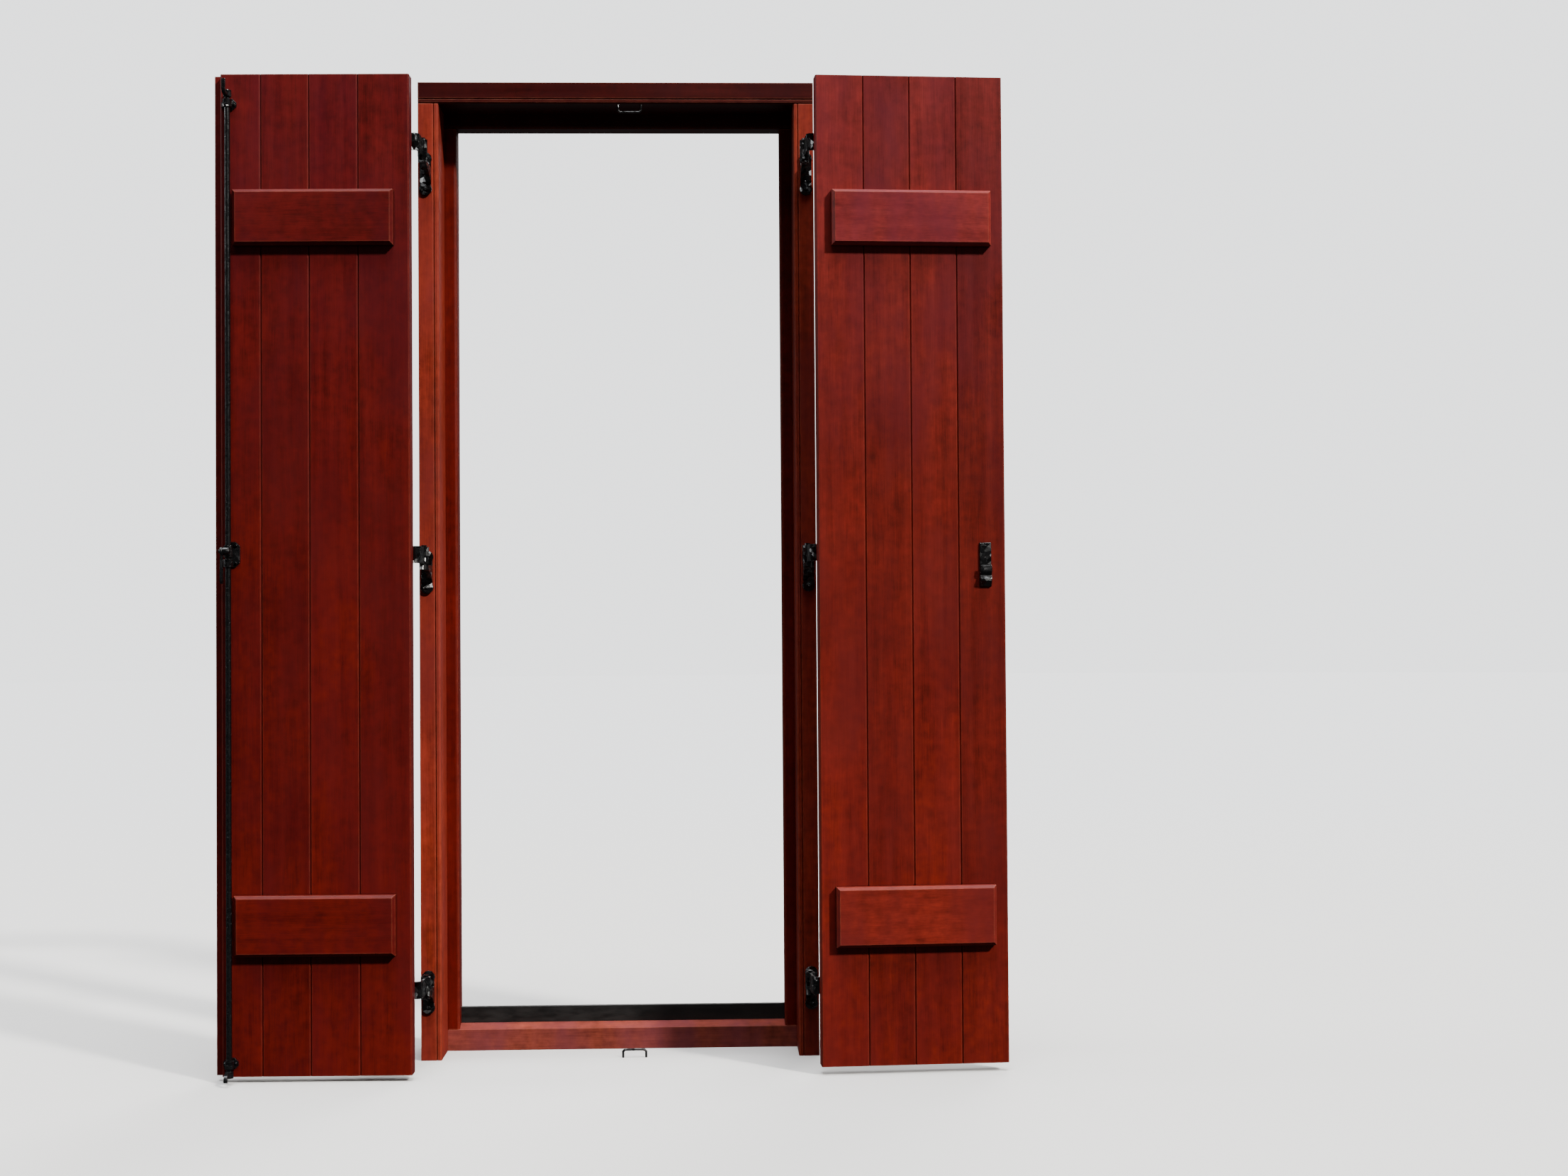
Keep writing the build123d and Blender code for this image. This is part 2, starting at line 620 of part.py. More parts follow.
def guide_screws():
    """The screws of the three guides."""
    seat = LEAF_FACE + GUIDE_PLATE
    inset = MIDDLE_GUIDE_SCREW_INSET
    places = [(x, z) for z in (TOP_GUIDE, BOTTOM_GUIDE) for x in (-GUIDE_SCREW_OFFSET, GUIDE_SCREW_OFFSET)]
    beside = -MIDDLE_GUIDE_REACH + inset
    places += [(beside, MIDDLE_GUIDE_TOP - inset), (beside, MIDDLE_GUIDE_TOP - MIDDLE_GUIDE_HEIGHT + inset)]
    grip = GUIDE_PLATE + SCREW_GRIP
    return [screw(ROD_X + x, seat, z, 1, grip, head=GUIDE_SCREW_HEAD) for x, z in places]


def lever_axis(shape):
    """Place a shape, drawn about the Z axis, on the lever's pivot with Z along X."""
    return Pos(ROD_X, ROD_Y + LEVER_PIVOT_FORWARD, LEVER_PIVOT_HEIGHT) * Rot(0, 90, 0) * shape


def lug_half_width():
    return LEVER_OFFSET - LEVER_THICKNESS / 2 - LEVER_PLAY


def handle_collar():
    """A collar fixed on the rod, with a rounded lug for the lever's bolt."""
    half = COLLAR_HEIGHT / 2
    width = 2 * lug_half_width()
    low, high = LEVER_PIVOT_HEIGHT - half, LEVER_PIVOT_HEIGHT + half
    ring = forged(ROD_RADIUS + COLLAR_WALL, ROD_X, ROD_Y, low, high)
    nose = lever_axis(extrude(RegularPolygon(LUG_NOSE, FORGED_SIDES), amount=width / 2, both=True))
    x = (ROD_X - width / 2, ROD_X + width / 2)
    z = (LEVER_PIVOT_HEIGHT - LUG_NOSE, LEVER_PIVOT_HEIGHT + LUG_NOSE)
    lug = block(x, (ROD_Y, ROD_Y + LEVER_PIVOT_FORWARD), z)
    bore = upright(ROD_RADIUS + FIXED_PLAY, ROD_X, ROD_Y, low - CUT_PAST, high + CUT_PAST)
    bolt_hole = lever_axis(Cylinder(BOLT_RADIUS + FIXED_PLAY, width + 2 * CUT_PAST))
    return ring + lug + nose - bore - bolt_hole


def lever_bolt():
    """A bolt across the lug, with a round head outside the lever and a riveted end."""
    inner = lug_half_width()
    outer = LEVER_OFFSET + LEVER_THICKNESS / 2 + LEVER_PLAY / 2
    shank = Pos(0, 0, (outer - inner) / 2) * Cylinder(BOLT_RADIUS, outer + inner)
    head = button(Plane((0, 0, outer)), BOLT_HEAD_RADIUS, BOLT_HEAD, FORGED_SIDES)
    rivet_seat = Plane(origin=(0, 0, -inner), x_dir=(1, 0, 0), z_dir=(0, 0, -1))
    rivet = button(rivet_seat, RIVET_RADIUS, RIVET_HEIGHT, FORGED_SIDES)
    return lever_axis(shank + head + rivet)


def lever():
    """A flat lever that hangs from its bolt and widens towards a round end."""
    neck, wide = LEVER_NECK / 2, LEVER_WIDTH / 2
    blade = outline([(-neck, 0), (-wide, -LEVER_REACH), (wide, -LEVER_REACH), (neck, 0)])
    knob = Pos(0, -LEVER_REACH) * RegularPolygon(wide, FORGED_SIDES)
    eye = RegularPolygon(LEVER_EYE_RADIUS, FORGED_SIDES)
    shape = blade + knob + eye - Circle(BOLT_RADIUS + PIN_PLAY)
    x = ROD_X + LEVER_OFFSET - LEVER_THICKNESS / 2
    seat = Plane(
        origin=(x, ROD_Y + LEVER_PIVOT_FORWARD, LEVER_PIVOT_HEIGHT), x_dir=(0, 1, 0), z_dir=(1, 0, 0))
    return extrude(seat * shape, amount=LEVER_THICKNESS, dir=(1, 0, 0))


# Catch and keepers

def catch_screws():
    """Flush screws in the catch's plate."""
    seat = LEAF_FACE + CATCH_PLATE
    grip = CATCH_PLATE + SCREW_GRIP
    return [screw(CATCH_X, seat, CATCH_FLOOR + rise, 1, grip, flush=True) for rise in CATCH_SCREWS]


def catch(screws):
    """A plate with a pocket for the lever's end, and a ridge below the pocket's lip."""
    inner = CATCH_PLATE + CATCH_POCKET
    outer = inner + CATCH_LIP
    bottom, top = CATCH_FLOOR - CATCH_TAIL, CATCH_FLOOR + CATCH_RISE
    lip_top = CATCH_FLOOR + CATCH_LIP_HEIGHT
    land = lip_top - CATCH_EDGE - CATCH_SLOPE
    valley = (land - CATCH_RIDGE_PITCH + land - CATCH_LAND) / 2
    section = [
        (0, bottom), (0, top), (CATCH_PLATE - CATCH_EDGE, top), (CATCH_PLATE, top - CATCH_EDGE),
        (CATCH_PLATE, CATCH_FLOOR), (inner, CATCH_FLOOR), (inner, lip_top - CATCH_EDGE),
        (inner + CATCH_EDGE, lip_top), (outer, land), (outer, land - CATCH_LAND),
        (outer - CATCH_VALLEY, valley), (outer, land - CATCH_RIDGE_PITCH),
        (outer, land - CATCH_LAND - CATCH_RIDGE_PITCH), (CATCH_PLATE, bottom),
    ]
    points = [(LEAF_FACE + away, z) for away, z in section]
    return drilled(rail(points, CATCH_X - CATCH_WIDTH / 2, CATCH_X + CATCH_WIDTH / 2), screws)


def staple(base, toward, tang):
    """A bent bar that stands off a surface, with tangs that go into it."""
    far = STAPLE_NEAR_POST + STAPLE_SPAN
    foot = base - toward * tang
    top = base + toward * (STAPLE_HEIGHT - STAPLE_RADIUS)
    knee = top - toward * STAPLE_KNEE
    path = Polyline(
        (STAPLE_NEAR_POST, STAPLE_Y, foot), (STAPLE_NEAR_POST, STAPLE_Y, knee),
        (STAPLE_NEAR_POST + STAPLE_KNEE, STAPLE_Y, top), (far - STAPLE_KNEE, STAPLE_Y, top),
        (far, STAPLE_Y, knee), (far, STAPLE_Y, foot))
    start = Plane(origin=path @ 0, x_dir=(1, 0, 0), z_dir=(0, 0, toward))
    section = start * RegularPolygon(STAPLE_RADIUS, STAPLE_SIDES)
    return sweep(section, path=path, transition=Transition.RIGHT)


def staple_holes():
    """Holes in the head rail for the upper staple's tangs."""
    shape = RegularPolygon(STAPLE_RADIUS, STAPLE_SIDES)
    places = (STAPLE_NEAR_POST, STAPLE_NEAR_POST + STAPLE_SPAN)
    return [extrude(Plane((x, STAPLE_Y, HEAD_UNDERSIDE)) * shape, amount=STAPLE_TANG) for x in places]


# Assembly

def frame_pieces():
    screws = {LEFT: bracket_screws(LEFT), RIGHT: bracket_screws(RIGHT)}
    pieces = {
        "casing_head": casing_head(staple_holes()),
        "window_head": window_head(),
        "window_sill_rail": sill_rail(),
        "threshold_strip": threshold_strip(),
        "keeper_top": staple(HEAD_UNDERSIDE, -1, STAPLE_TANG),
        "keeper_sill": staple(0, 1, 0),
        "bracket_screws": Compound(children=screws[LEFT] + screws[RIGHT]),
    }
    for side, name in ((LEFT, "left"), (RIGHT, "right")):
        pieces["casing_jamb_" + name] = drilled(casing_jamb(side), screws[side])
        pieces["window_jamb_" + name] = window_jamb(side)
        for level, height in HINGE_HEIGHTS.items():
            pieces[f"hinge_bracket_{name}_{level}"] = bracket(side, height, screws[side])
    return pieces


def leaf_pieces(side, name, fitting_screws):
    """The pieces that every leaf has, drawn closed."""
    straps = strap_screws(side)
    through = batten_screws(side)
    pieces = {
        name + "_strap_screws": Compound(children=straps),
        name + "_batten_screws": Compound(children=through),
    }
    for number, board in enumerate(boards(side, straps + through + fitting_screws), 1):
        pieces[f"{name}_board_{number}"] = board
    for place, (middle, height) in battens(side).items():
        pieces[f"{name}_batten_{place}"] = batten(side, middle, height, through)
    for level, height in HINGE_HEIGHTS.items():
        pieces[f"{name}_strap_{level}"] = strap(side, height, straps)
    return pieces


def left_leaf():
    screws = guide_screws()
    pieces = leaf_pieces(LEFT, "left", screws)
    pieces.update({
        "rod_guide_top": end_guide(TOP_GUIDE, screws),
        "rod_guide_middle": middle_guide(screws),
        "rod_guide_bottom": end_guide(BOTTOM_GUIDE, screws),
        "rod_guide_screws": Compound(children=screws),
        "locking_rod": rod(),
        "rod_hook_top": top_hook(),
        "rod_hook_bottom": bottom_hook(),
        "handle_collar": handle_collar(),
        "handle_bolt": lever_bolt(),
        "handle_lever": lever(),
    })
    return {name: swing(shape, LEFT) for name, shape in pieces.items()}


def right_leaf():
    screws = catch_screws()
    pieces = leaf_pieces(RIGHT, "right", screws)
    pieces["handle_catch"] = catch(screws)
    pieces["handle_catch_screws"] = Compound(children=screws)
    return {name: swing(shape, RIGHT) for name, shape in pieces.items()}


def main():
    os.makedirs("parts", exist_ok=True)
    for pieces in (frame_pieces(), left_leaf(), right_leaf()):
        for name, shape in pieces.items():
            export_step(shape, f"parts/{name}.step")


main()
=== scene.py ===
import math

import bmesh
import bpy
from mathutils import Matrix, Vector


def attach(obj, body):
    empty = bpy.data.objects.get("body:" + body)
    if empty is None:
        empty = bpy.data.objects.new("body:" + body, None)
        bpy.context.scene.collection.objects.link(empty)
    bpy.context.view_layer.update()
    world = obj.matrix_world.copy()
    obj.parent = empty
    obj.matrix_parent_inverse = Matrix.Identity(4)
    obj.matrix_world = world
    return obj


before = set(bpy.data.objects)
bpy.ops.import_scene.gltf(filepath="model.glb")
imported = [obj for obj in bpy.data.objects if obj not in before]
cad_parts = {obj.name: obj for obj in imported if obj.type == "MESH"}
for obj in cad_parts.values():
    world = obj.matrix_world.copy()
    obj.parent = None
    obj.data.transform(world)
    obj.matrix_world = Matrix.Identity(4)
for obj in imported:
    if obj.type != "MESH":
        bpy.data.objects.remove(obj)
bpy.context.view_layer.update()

# Metres, in the CAD model's frame: X to the right seen from outside, Y into the building, Z up

# Camera, at the place from which the photograph was taken
PHOTO_WIDTH_PX = 2212
FOCAL_LENGTH_PX = 3114
SENSOR_WIDTH_MM = 36.0
VIEW_END = 200
CAMERA_PLACE = Vector((0.196, -5.024, 0.943))
CAMERA_YAW = math.radians(1.988)
CAMERA_PITCH = math.radians(1.038)
CAMERA_ROLL = math.radians(-0.390)

# Linear colours
LEFT_LEAF = (0.104, 0.0048, 0.0026)
RIGHT_LEAF = (0.142, 0.0092, 0.0043)
RIGHT_BATTENS = (0.190, 0.0152, 0.0078)
CASING = (0.240, 0.0250, 0.0110)
WINDOW = (0.110, 0.0040, 0.0016)
# The heads' red is darker than the casing's: painted shade of the wall's lintel, which is not built, and
# paint less faded under it
HEAD_IN_PAINTED_SHADE = (0.046, 0.0022, 0.0014)
SILL_RAIL = (0.240, 0.0460, 0.0290)
# Pale red on the arrises: a painted highlight, together with wear
WORN_AND_HIGHLIT_WOOD = (0.420, 0.1100, 0.0600)
# Painted shade for grooves, corners and where parts touch
GROOVE_PAINTED_SHADE = (0.012, 0.0010, 0.0008)
IRON_BLACK = (0.0020, 0.0020, 0.0024)
IRON_WORN = (0.040, 0.034, 0.029)
STRIP_BLACK = (0.0026, 0.0025, 0.0024)
STRIP_DUST = (0.012, 0.010, 0.008)
FLOOR_PALE = (0.80, 0.79, 0.775)
STUDIO_PALE = (0.84, 0.85, 0.86)
BLACK = (0.0, 0.0, 0.0)

# A noise is given by its scale, detail, roughness and, where it has one, distortion. A spread gives two
# values and what they become. Where it has only the two, they become 0 and 1.

# Most of a noise lies between these two values
NOISE_LOW = 0.3
NOISE_HIGH = 0.7

# Wood: the noises of its grain, how far each makes it darker or lighter, and where each piece's cut starts
STREAKS = (60, 5, 0.55, 0.3)
FIBRES = (650, 3, 0.6)
PATCHES = (3.5, 2, 0.5)
MOTTLE = (45, 4, 0.6)
STREAK_SWING = 0.17
FIBRE_SWING = 0.20
PATCH_SWING = 0.15
MOTTLE_SWING = 0.22
GRAIN_STRETCH = 0.03
GRAIN_STEP = (0.37, 0.71, 0.13)
PLAIN_STEP = (1.7, 0.9, 0.4)
WOOD_DARKEST = 0.45
WOOD_LIGHTEST = 1.55
MIDDLE_SHADE = 0.5
WOOD_ROUGHNESS = (0.40, 0.50)
STREAK_ROUGHNESS = (-0.04, 0.05)
WOOD_SPECULAR = 0.16
FIBRE_HEIGHT = 0.6
GRAIN_DEPTH = 0.00015
GRAIN_STRENGTH = 0.6

# Wood: each piece has one of five tones, in mixed order
TONE_SPREAD = 0.07
TONE_COUNT = 5
TONE_STRIDE = 7

# Wood: cool clouds in the varnish, and a painted reflection of the sky that tints the leaves' upper parts
CLOUDS = (9, 3, 0.6)
CLOUD_STRETCH = (1, 1, 0.35)
CLOUD_STEP = (0.8, 1.0, 0.6)
CLOUD_SPREAD = (0.40, 0.66, 0.0, 0.65)
CLOUD_SHARES = (0.76, 0.9, 1.9)
PAINTED_SKY_HEIGHTS = (1.2, 2.1)
PAINTED_SKY_SHARES = (1.16, 1.55, 3.0)
PAINTED_SKY_ON_LEFT_LEAF = 0.7
PAINTED_SKY_ON_RIGHT_LEAF = 0.85

# Wood: arrises rounded for the eye, a painted highlight on them together with their wear, and painted shade
# in the
# joints. Each kind of piece has its own: how pale its arrises are, the bends where that starts and is full,
# and its joints' painted shade.
ARRIS = 0.0012
WORN_AND_HIGHLIT_ARRIS = 0.0045
JOINT_REACH = 0.005
JOINT_LIGHT = (0.85, 0.25)
JOINT_FREE = (0.15, 0.0)
SCUFFS_AND_HIGHLIGHTS = (38, 5, 0.7)
SCUFF_AND_HIGHLIGHT_SPREAD = (0.36, 0.62, 0.35, 1.0)
ANY_BEND = (0.995, 0.90)
SHARP_BEND = (0.965, 0.84)
BOARD_WEAR_AND_PAINTED_LIGHT = (0.55, SHARP_BEND, 0.92)
BATTEN_WEAR_AND_PAINTED_LIGHT = (0.48, ANY_BEND, 0.85)
FRAME_WEAR_AND_PAINTED_LIGHT = (0.55, ANY_BEND, 0.15)

# Rays by which arrises and joints are found
SURFACE_SAMPLES = 6

# Iron: flat hammer marks, steep on the hinges, shallow on the lock and hardly there on the drawn rod
MARK_SCALE = 105.0
MARK_OFFSET = (0.011, 0.007, 0.019)
MARK_MIDDLE = (0.5, 0.5, 0.5)
HAMMERED_SLOPE = 1.35
FORGED_SLOPE = 0.5
DRAWN_SLOPE = 0.12
IRON_GRAIN = (420, 4, 0.6)
IRON_GRAIN_HEIGHT = 0.0002
IRON_BLOTCHES = (90, 4, 0.7)
IRON_WEAR_SPREAD = (0.50, 0.66, 0.0, 0.75)
IRON_SPOTS = (260, 5, 0.7)
IRON_SPOT_SPREAD = (0.66, 0.74, 0.0, 0.5)
IRON_ROUGHNESS = (0.24, 0.38)
IRON_SPECULAR = 0.5
IRON_ARRIS = 0.0008

# Threshold strip
STRIP_STRETCH = (0.25, 1, 1)
DUST = (60, 6, 0.7)
DUST_SPREAD = (0.45, 0.75, 0.05, 0.55)
DUST_ROUGHNESS_SPREAD = (0.4, 0.7, 0.45, 0.8)
DUST_GRAIN = (900, 3, 0.6)
DUST_DEPTH = 0.0001
STRIP_ARRIS = 0.0006
STRIP_WEAR = 0.35

# Studio: the floor fades into the backdrop between two distances from the part
FADE_START = 1.0
FADE_END = 9.0
FLOOR_ROUGHNESS = 0.85
FLOOR_SPECULAR = 0.1
FLOOR_SIDES = 96
STUDIO_GLOW = 2.6
BACKDROP_RADIUS = 40.0
BACKDROP_SEGMENTS = 64
BACKDROP_RINGS = 32
WORLD_STRENGTH = 0.10

# Lamps: the place each shines from, its width in degrees, its strength and its tint
LAMPS = {
    "key": ((4.4, -4.2, 4.7), 5, 4.4, (1.0, 0.97, 0.92)),
    "overhead": ((0.2, -1.0, 6.0), 40, 5.0, (0.96, 0.98, 1.0)),
    "back": ((1.6, 5.0, 3.4), 30, 1.9, (1.0, 0.99, 0.97)),
    "side": ((-5.0, 0.4, 2.2), 20, 1.1, (0.97, 0.98, 1.0)),
}

# Ends of the window jambs in the head's sash rebate: the right one's spans, and the first one's seed
JAMB_END_X = (0.377, 0.437)
JAMB_END_Y = (0.016, 0.034)
JAMB_END_Z = (2.076, 2.088)
JAMB_END_EASING = 0.0008
JAMB_END_EASING_STEPS = 2
JAMB_END_SEED = 40


# Material nodes

class Shader:
    """A material whose nodes are added one by one and joined to its principled shader."""

    def __init__(self, name):
        self.material = bpy.data.materials.new(name)
        self.material.use_nodes = True
        self.tree = self.material.node_tree
        self.surface = self.tree.nodes["Principled BSDF"]

    def add(self, kind, inputs=(), **settings):
        """A node with some of its inputs given: a value, or another node's output."""
        made = self.tree.nodes.new("ShaderNode" + kind)
        for name, value in settings.items():
            setattr(made, name, value)
        for name, value in dict(inputs).items():
            self.put(made.inputs[name], value)
        return made

    def put(self, socket, value):
        if isinstance(value, bpy.types.NodeSocket):
            self.tree.links.new(value, socket)
        else:
            socket.default_value = value

    def set(self, **values):
        """Values of the principled shader's own inputs."""
        for name, value in values.items():
            self.put(self.surface.inputs[name.replace("_", " ")], value)

    def place(self, scale=(1, 1, 1), offset=(0, 0, 0)):
        """Object coordinates, scaled and moved."""
        where = self.add("TexCoord").outputs["Object"]
        inputs = {"Vector": where, "Scale": scale, "Location": offset}
        return self.add("Mapping", inputs).outputs["Vector"]

    def noise(self, where, scale, detail, roughness, distortion=0.0):
        inputs = {"Vector": where, "Scale": scale, "Detail": detail}
        inputs.update({"Roughness": roughness, "Distortion": distortion})
        return self.add("TexNoise", inputs).outputs["Fac"]

    def between(self, value, low, high, at_low=0.0, at_high=1.0):
        """A value spread from one range to another, and kept inside it."""
        inputs = {"Value": value, "From Min": low, "From Max": high, "To Min": at_low, "To Max": at_high}
        return self.add("MapRange", inputs).outputs["Result"]

    def across(self, noise, at_low, at_high):
        """A noise spread over a range of its own."""
        return self.between(noise, NOISE_LOW, NOISE_HIGH, at_low, at_high)

    def swing(self, noise, reach):
        """A noise spread evenly to both sides of zero."""
        return self.across(noise, -reach, reach)

    def mix(self, share, first, second, blend="MIX"):
        made = self.add("Mix", data_type="RGBA", blend_type=blend)
        sockets = {socket.identifier: socket for socket in made.inputs}
        self.put(sockets["Factor_Float"], share)
        self.put(sockets["A_Color"], colour(first))
        self.put(sockets["B_Color"], colour(second))
        return next(socket for socket in made.outputs if socket.identifier == "Result_Color")

    def math(self, operation, first, second):
        made = self.add("Math", operation=operation)
        self.put(made.inputs[0], first)
        self.put(made.inputs[1], second)
        return made.outputs["Value"]

    def vector(self, operation, first, second):
        made = self.add("VectorMath", operation=operation)
        self.put(made.inputs[0], first)
        self.put(made.inputs[1], second)
        return made

    def rounded(self, radius):
        """The normal of a surface whose arrises are rounded."""
        return self.add("Bevel", {"Radius": radius}, samples=SURFACE_SAMPLES).outputs["Normal"]

    def arris(self, radius, bend=ANY_BEND):
        """How near a point is to an arris, from 0 on a flat to 1."""
        flat = self.add("NewGeometry").outputs["Normal"]
        likeness = self.vector("DOT_PRODUCT", self.rounded(radius), flat)
        return self.between(likeness.outputs["Value"], *bend)

    def hollow(self, reach):
        """How deep a point lies in a groove or a corner, from 0 in the open to 1."""
        shade = self.add("AmbientOcclusion", {"Distance": reach}, samples=SURFACE_SAMPLES)
        return self.between(shade.outputs["AO"], *JOINT_LIGHT)

    def bump(self, height, depth, normal, strength=1.0):
        inputs = {"Height": height, "Distance": depth, "Normal": normal, "Strength": strength}
        return self.add("Bump", inputs).outputs["Normal"]


def colour(value):
    """A colour with its alpha, or another node's output as it is."""
    return (*value, 1.0) if isinstance(value, tuple) else value


def scaled(values, factor):
    return tuple(value * factor for value in values)


# Materials

def varnished_wood(name, body_colour, along, seed, wear_and_painted_light, painted_sky=0.0):
    """Varnished wood with its grain along one axis. Every piece has its own stretch of it."""
    paleness, bend, joint_painted_shade = wear_and_painted_light
    s = Shader(name)
    stretch = [1.0, 1.0, 1.0]
    stretch["XYZ".index(along)] = GRAIN_STRETCH
    grain_place = s.place(stretch, scaled(GRAIN_STEP, seed))
    plain_place = s.place(offset=scaled(PLAIN_STEP, seed))
    streaks = s.noise(grain_place, *STREAKS)
    fibres = s.noise(grain_place, *FIBRES)
    patches = s.noise(plain_place, *PATCHES)
    mottle = s.noise(plain_place, *MOTTLE)
    shade = s.math("ADD", s.swing(streaks, STREAK_SWING), s.swing(patches, PATCH_SWING))
    shade = s.math("ADD", shade, s.swing(mottle, MOTTLE_SWING))
    shade = s.math("ADD", shade, s.swing(fibres, FIBRE_SWING))
    dark = scaled(body_colour, WOOD_DARKEST)
    light = scaled(body_colour, WOOD_LIGHTEST)
    body = s.mix(s.math("ADD", shade, MIDDLE_SHADE), dark, light)

    cool = tuple(part * share for part, share in zip(body_colour, CLOUD_SHARES))
    cloud = s.noise(s.place(CLOUD_STRETCH, scaled(CLOUD_STEP, seed)), *CLOUDS)
    body = s.mix(s.between(cloud, *CLOUD_SPREAD), body, cool)
    height = s.add("SeparateXYZ", {"Vector": s.place()}).outputs["Z"]
    # Painted reflection of the sky: the leaves turn cooler and purpler towards their tops
    body = s.mix(s.between(height, *PAINTED_SKY_HEIGHTS, 0.0, painted_sky), body, PAINTED_SKY_SHARES, "MULTIPLY")

    near = s.arris(WORN_AND_HIGHLIT_ARRIS, bend)
    joint = s.hollow(JOINT_REACH)
    scuffs_and_highlights = s.between(s.noise(plain_place, *SCUFFS_AND_HIGHLIGHTS), *SCUFF_AND_HIGHLIGHT_SPREAD)
    # Painted highlight on the outer arrises, together with wear, broken up by noise and kept out of the
    # joints
    outer = s.math("MULTIPLY", near, s.between(joint, *JOINT_FREE))
    worn = s.math("MULTIPLY", outer, s.math("MULTIPLY", scuffs_and_highlights, paleness))
    body = s.mix(worn, body, WORN_AND_HIGHLIT_WOOD)
    # Painted shade: darker where occlusion finds a groove, a corner or a touching part
    body = s.mix(s.math("MULTIPLY", joint, joint_painted_shade), body, GROOVE_PAINTED_SHADE)

    patch_part = s.across(patches, *WOOD_ROUGHNESS)
    roughness = s.math("ADD", patch_part, s.across(streaks, *STREAK_ROUGHNESS))
    relief = s.math("ADD", s.math("MULTIPLY", fibres, FIBRE_HEIGHT), streaks)
    normal = s.bump(relief, GRAIN_DEPTH, s.rounded(ARRIS), GRAIN_STRENGTH)
    s.set(Base_Color=body, Roughness=roughness, Normal=normal, Specular_IOR_Level=WOOD_SPECULAR)
    return s.material


def black_iron(name, slope):
    """Glossy black paint over flat hammer marks, each tilted its own way, with brown-grey spots of wear."""
    s = Shader(name)
    where = s.place(offset=MARK_OFFSET)
    marks = s.add("TexVoronoi", {"Vector": where, "Scale": MARK_SCALE}, feature="F1")
    tilt = s.vector("SUBTRACT", marks.outputs["Color"], MARK_MIDDLE).outputs["Vector"]
    away = s.vector("SUBTRACT", where, marks.outputs["Position"]).outputs["Vector"]
    facet = s.math("MULTIPLY", s.vector("DOT_PRODUCT", tilt, away).outputs["Value"], slope)
    grain = s.noise(where, *IRON_GRAIN)
    blotches = s.between(s.noise(where, *IRON_BLOTCHES), *IRON_WEAR_SPREAD)
    worn = s.math("MULTIPLY", s.arris(IRON_ARRIS), blotches)
    spots = s.between(s.noise(where, *IRON_SPOTS), *IRON_SPOT_SPREAD)
    body = s.mix(s.math("MAXIMUM", worn, spots), IRON_BLACK, IRON_WORN)
    height = s.math("ADD", facet, s.math("MULTIPLY", grain, IRON_GRAIN_HEIGHT))
    normal = s.bump(height, 1.0, s.rounded(IRON_ARRIS))
    s.set(Base_Color=body, Roughness=s.across(grain, *IRON_ROUGHNESS), Normal=normal)
    s.set(Specular_IOR_Level=IRON_SPECULAR)
    return s.material


def dusty_strip(name):
    """Matt black metal with dust lying on it."""
    s = Shader(name)
    where = s.place(STRIP_STRETCH)
    dust = s.noise(where, *DUST)
    fine = s.noise(where, *DUST_GRAIN)
    worn = s.math("MULTIPLY", s.arris(STRIP_ARRIS), STRIP_WEAR)
    share = s.math("MAXIMUM", s.between(dust, *DUST_SPREAD), worn)
    normal = s.bump(fine, DUST_DEPTH, s.rounded(STRIP_ARRIS))
    s.set(Base_Color=s.mix(share, STRIP_BLACK, STRIP_DUST), Normal=normal)
    s.set(Roughness=s.between(dust, *DUST_ROUGHNESS_SPREAD))
    return s.material


def floor_material():
    """Pale paint that fades into the backdrop with distance."""
    s = Shader("floor_paint")
    away = s.add("VectorMath", operation="LENGTH")
    s.put(away.inputs[0], s.place())
    inputs = {"Value": away.outputs["Value"], "From Min": FADE_START, "From Max": FADE_END}
    share = s.add("MapRange", inputs, interpolation_type="SMOOTHSTEP").outputs["Result"]
    s.set(Base_Color=s.mix(share, FLOOR_PALE, BLACK), Emission_Color=s.mix(share, BLACK, STUDIO_PALE))
    s.set(Emission_Strength=STUDIO_GLOW, Roughness=FLOOR_ROUGHNESS, Specular_IOR_Level=FLOOR_SPECULAR)
    return s.material


def backdrop_material():
    """Pale paint that glows evenly and reflects nothing."""
    s = Shader("backdrop_glow")
    s.set(Base_Color=colour(BLACK), Specular_IOR_Level=0.0, Roughness=1.0)
    s.set(Emission_Color=colour(STUDIO_PALE), Emission_Strength=STUDIO_GLOW)
    return s.material


# Dressing of the CAD nodes

def dress(node, material):
    """Puts one material on the whole of a CAD node."""
    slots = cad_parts[node].data.materials
    if len(slots) == 0:
        slots.append(material)
    for place in range(len(slots)):
        slots[place] = material


def wood_colour(node):
    if node.startswith("left"):
        return LEFT_LEAF
    if node.startswith("right"):
        return RIGHT_BATTENS if "batten" in node else RIGHT_LEAF
    # The heads get their darker red: painted shade of the lintel, with less faded paint
    if "head" in node:
        return HEAD_IN_PAINTED_SHADE
    if node.startswith("casing"):
        return CASING
    return SILL_RAIL if node == "window_sill_rail" else WINDOW


# Each kind of piece's painted arris highlight with wear, and its painted joint shade
def wood_wear_and_painted_light(node):
    if "board" in node:
        return BOARD_WEAR_AND_PAINTED_LIGHT
    return BATTEN_WEAR_AND_PAINTED_LIGHT if "batten" in node else FRAME_WEAR_AND_PAINTED_LIGHT


def painted_sky_on(node):
    """How much painted reflection of the sky a piece takes at its top. The frame takes none."""
    if node.startswith("left"):
        return PAINTED_SKY_ON_LEFT_LEAF
    return PAINTED_SKY_ON_RIGHT_LEAF if node.startswith("right") else 0.0


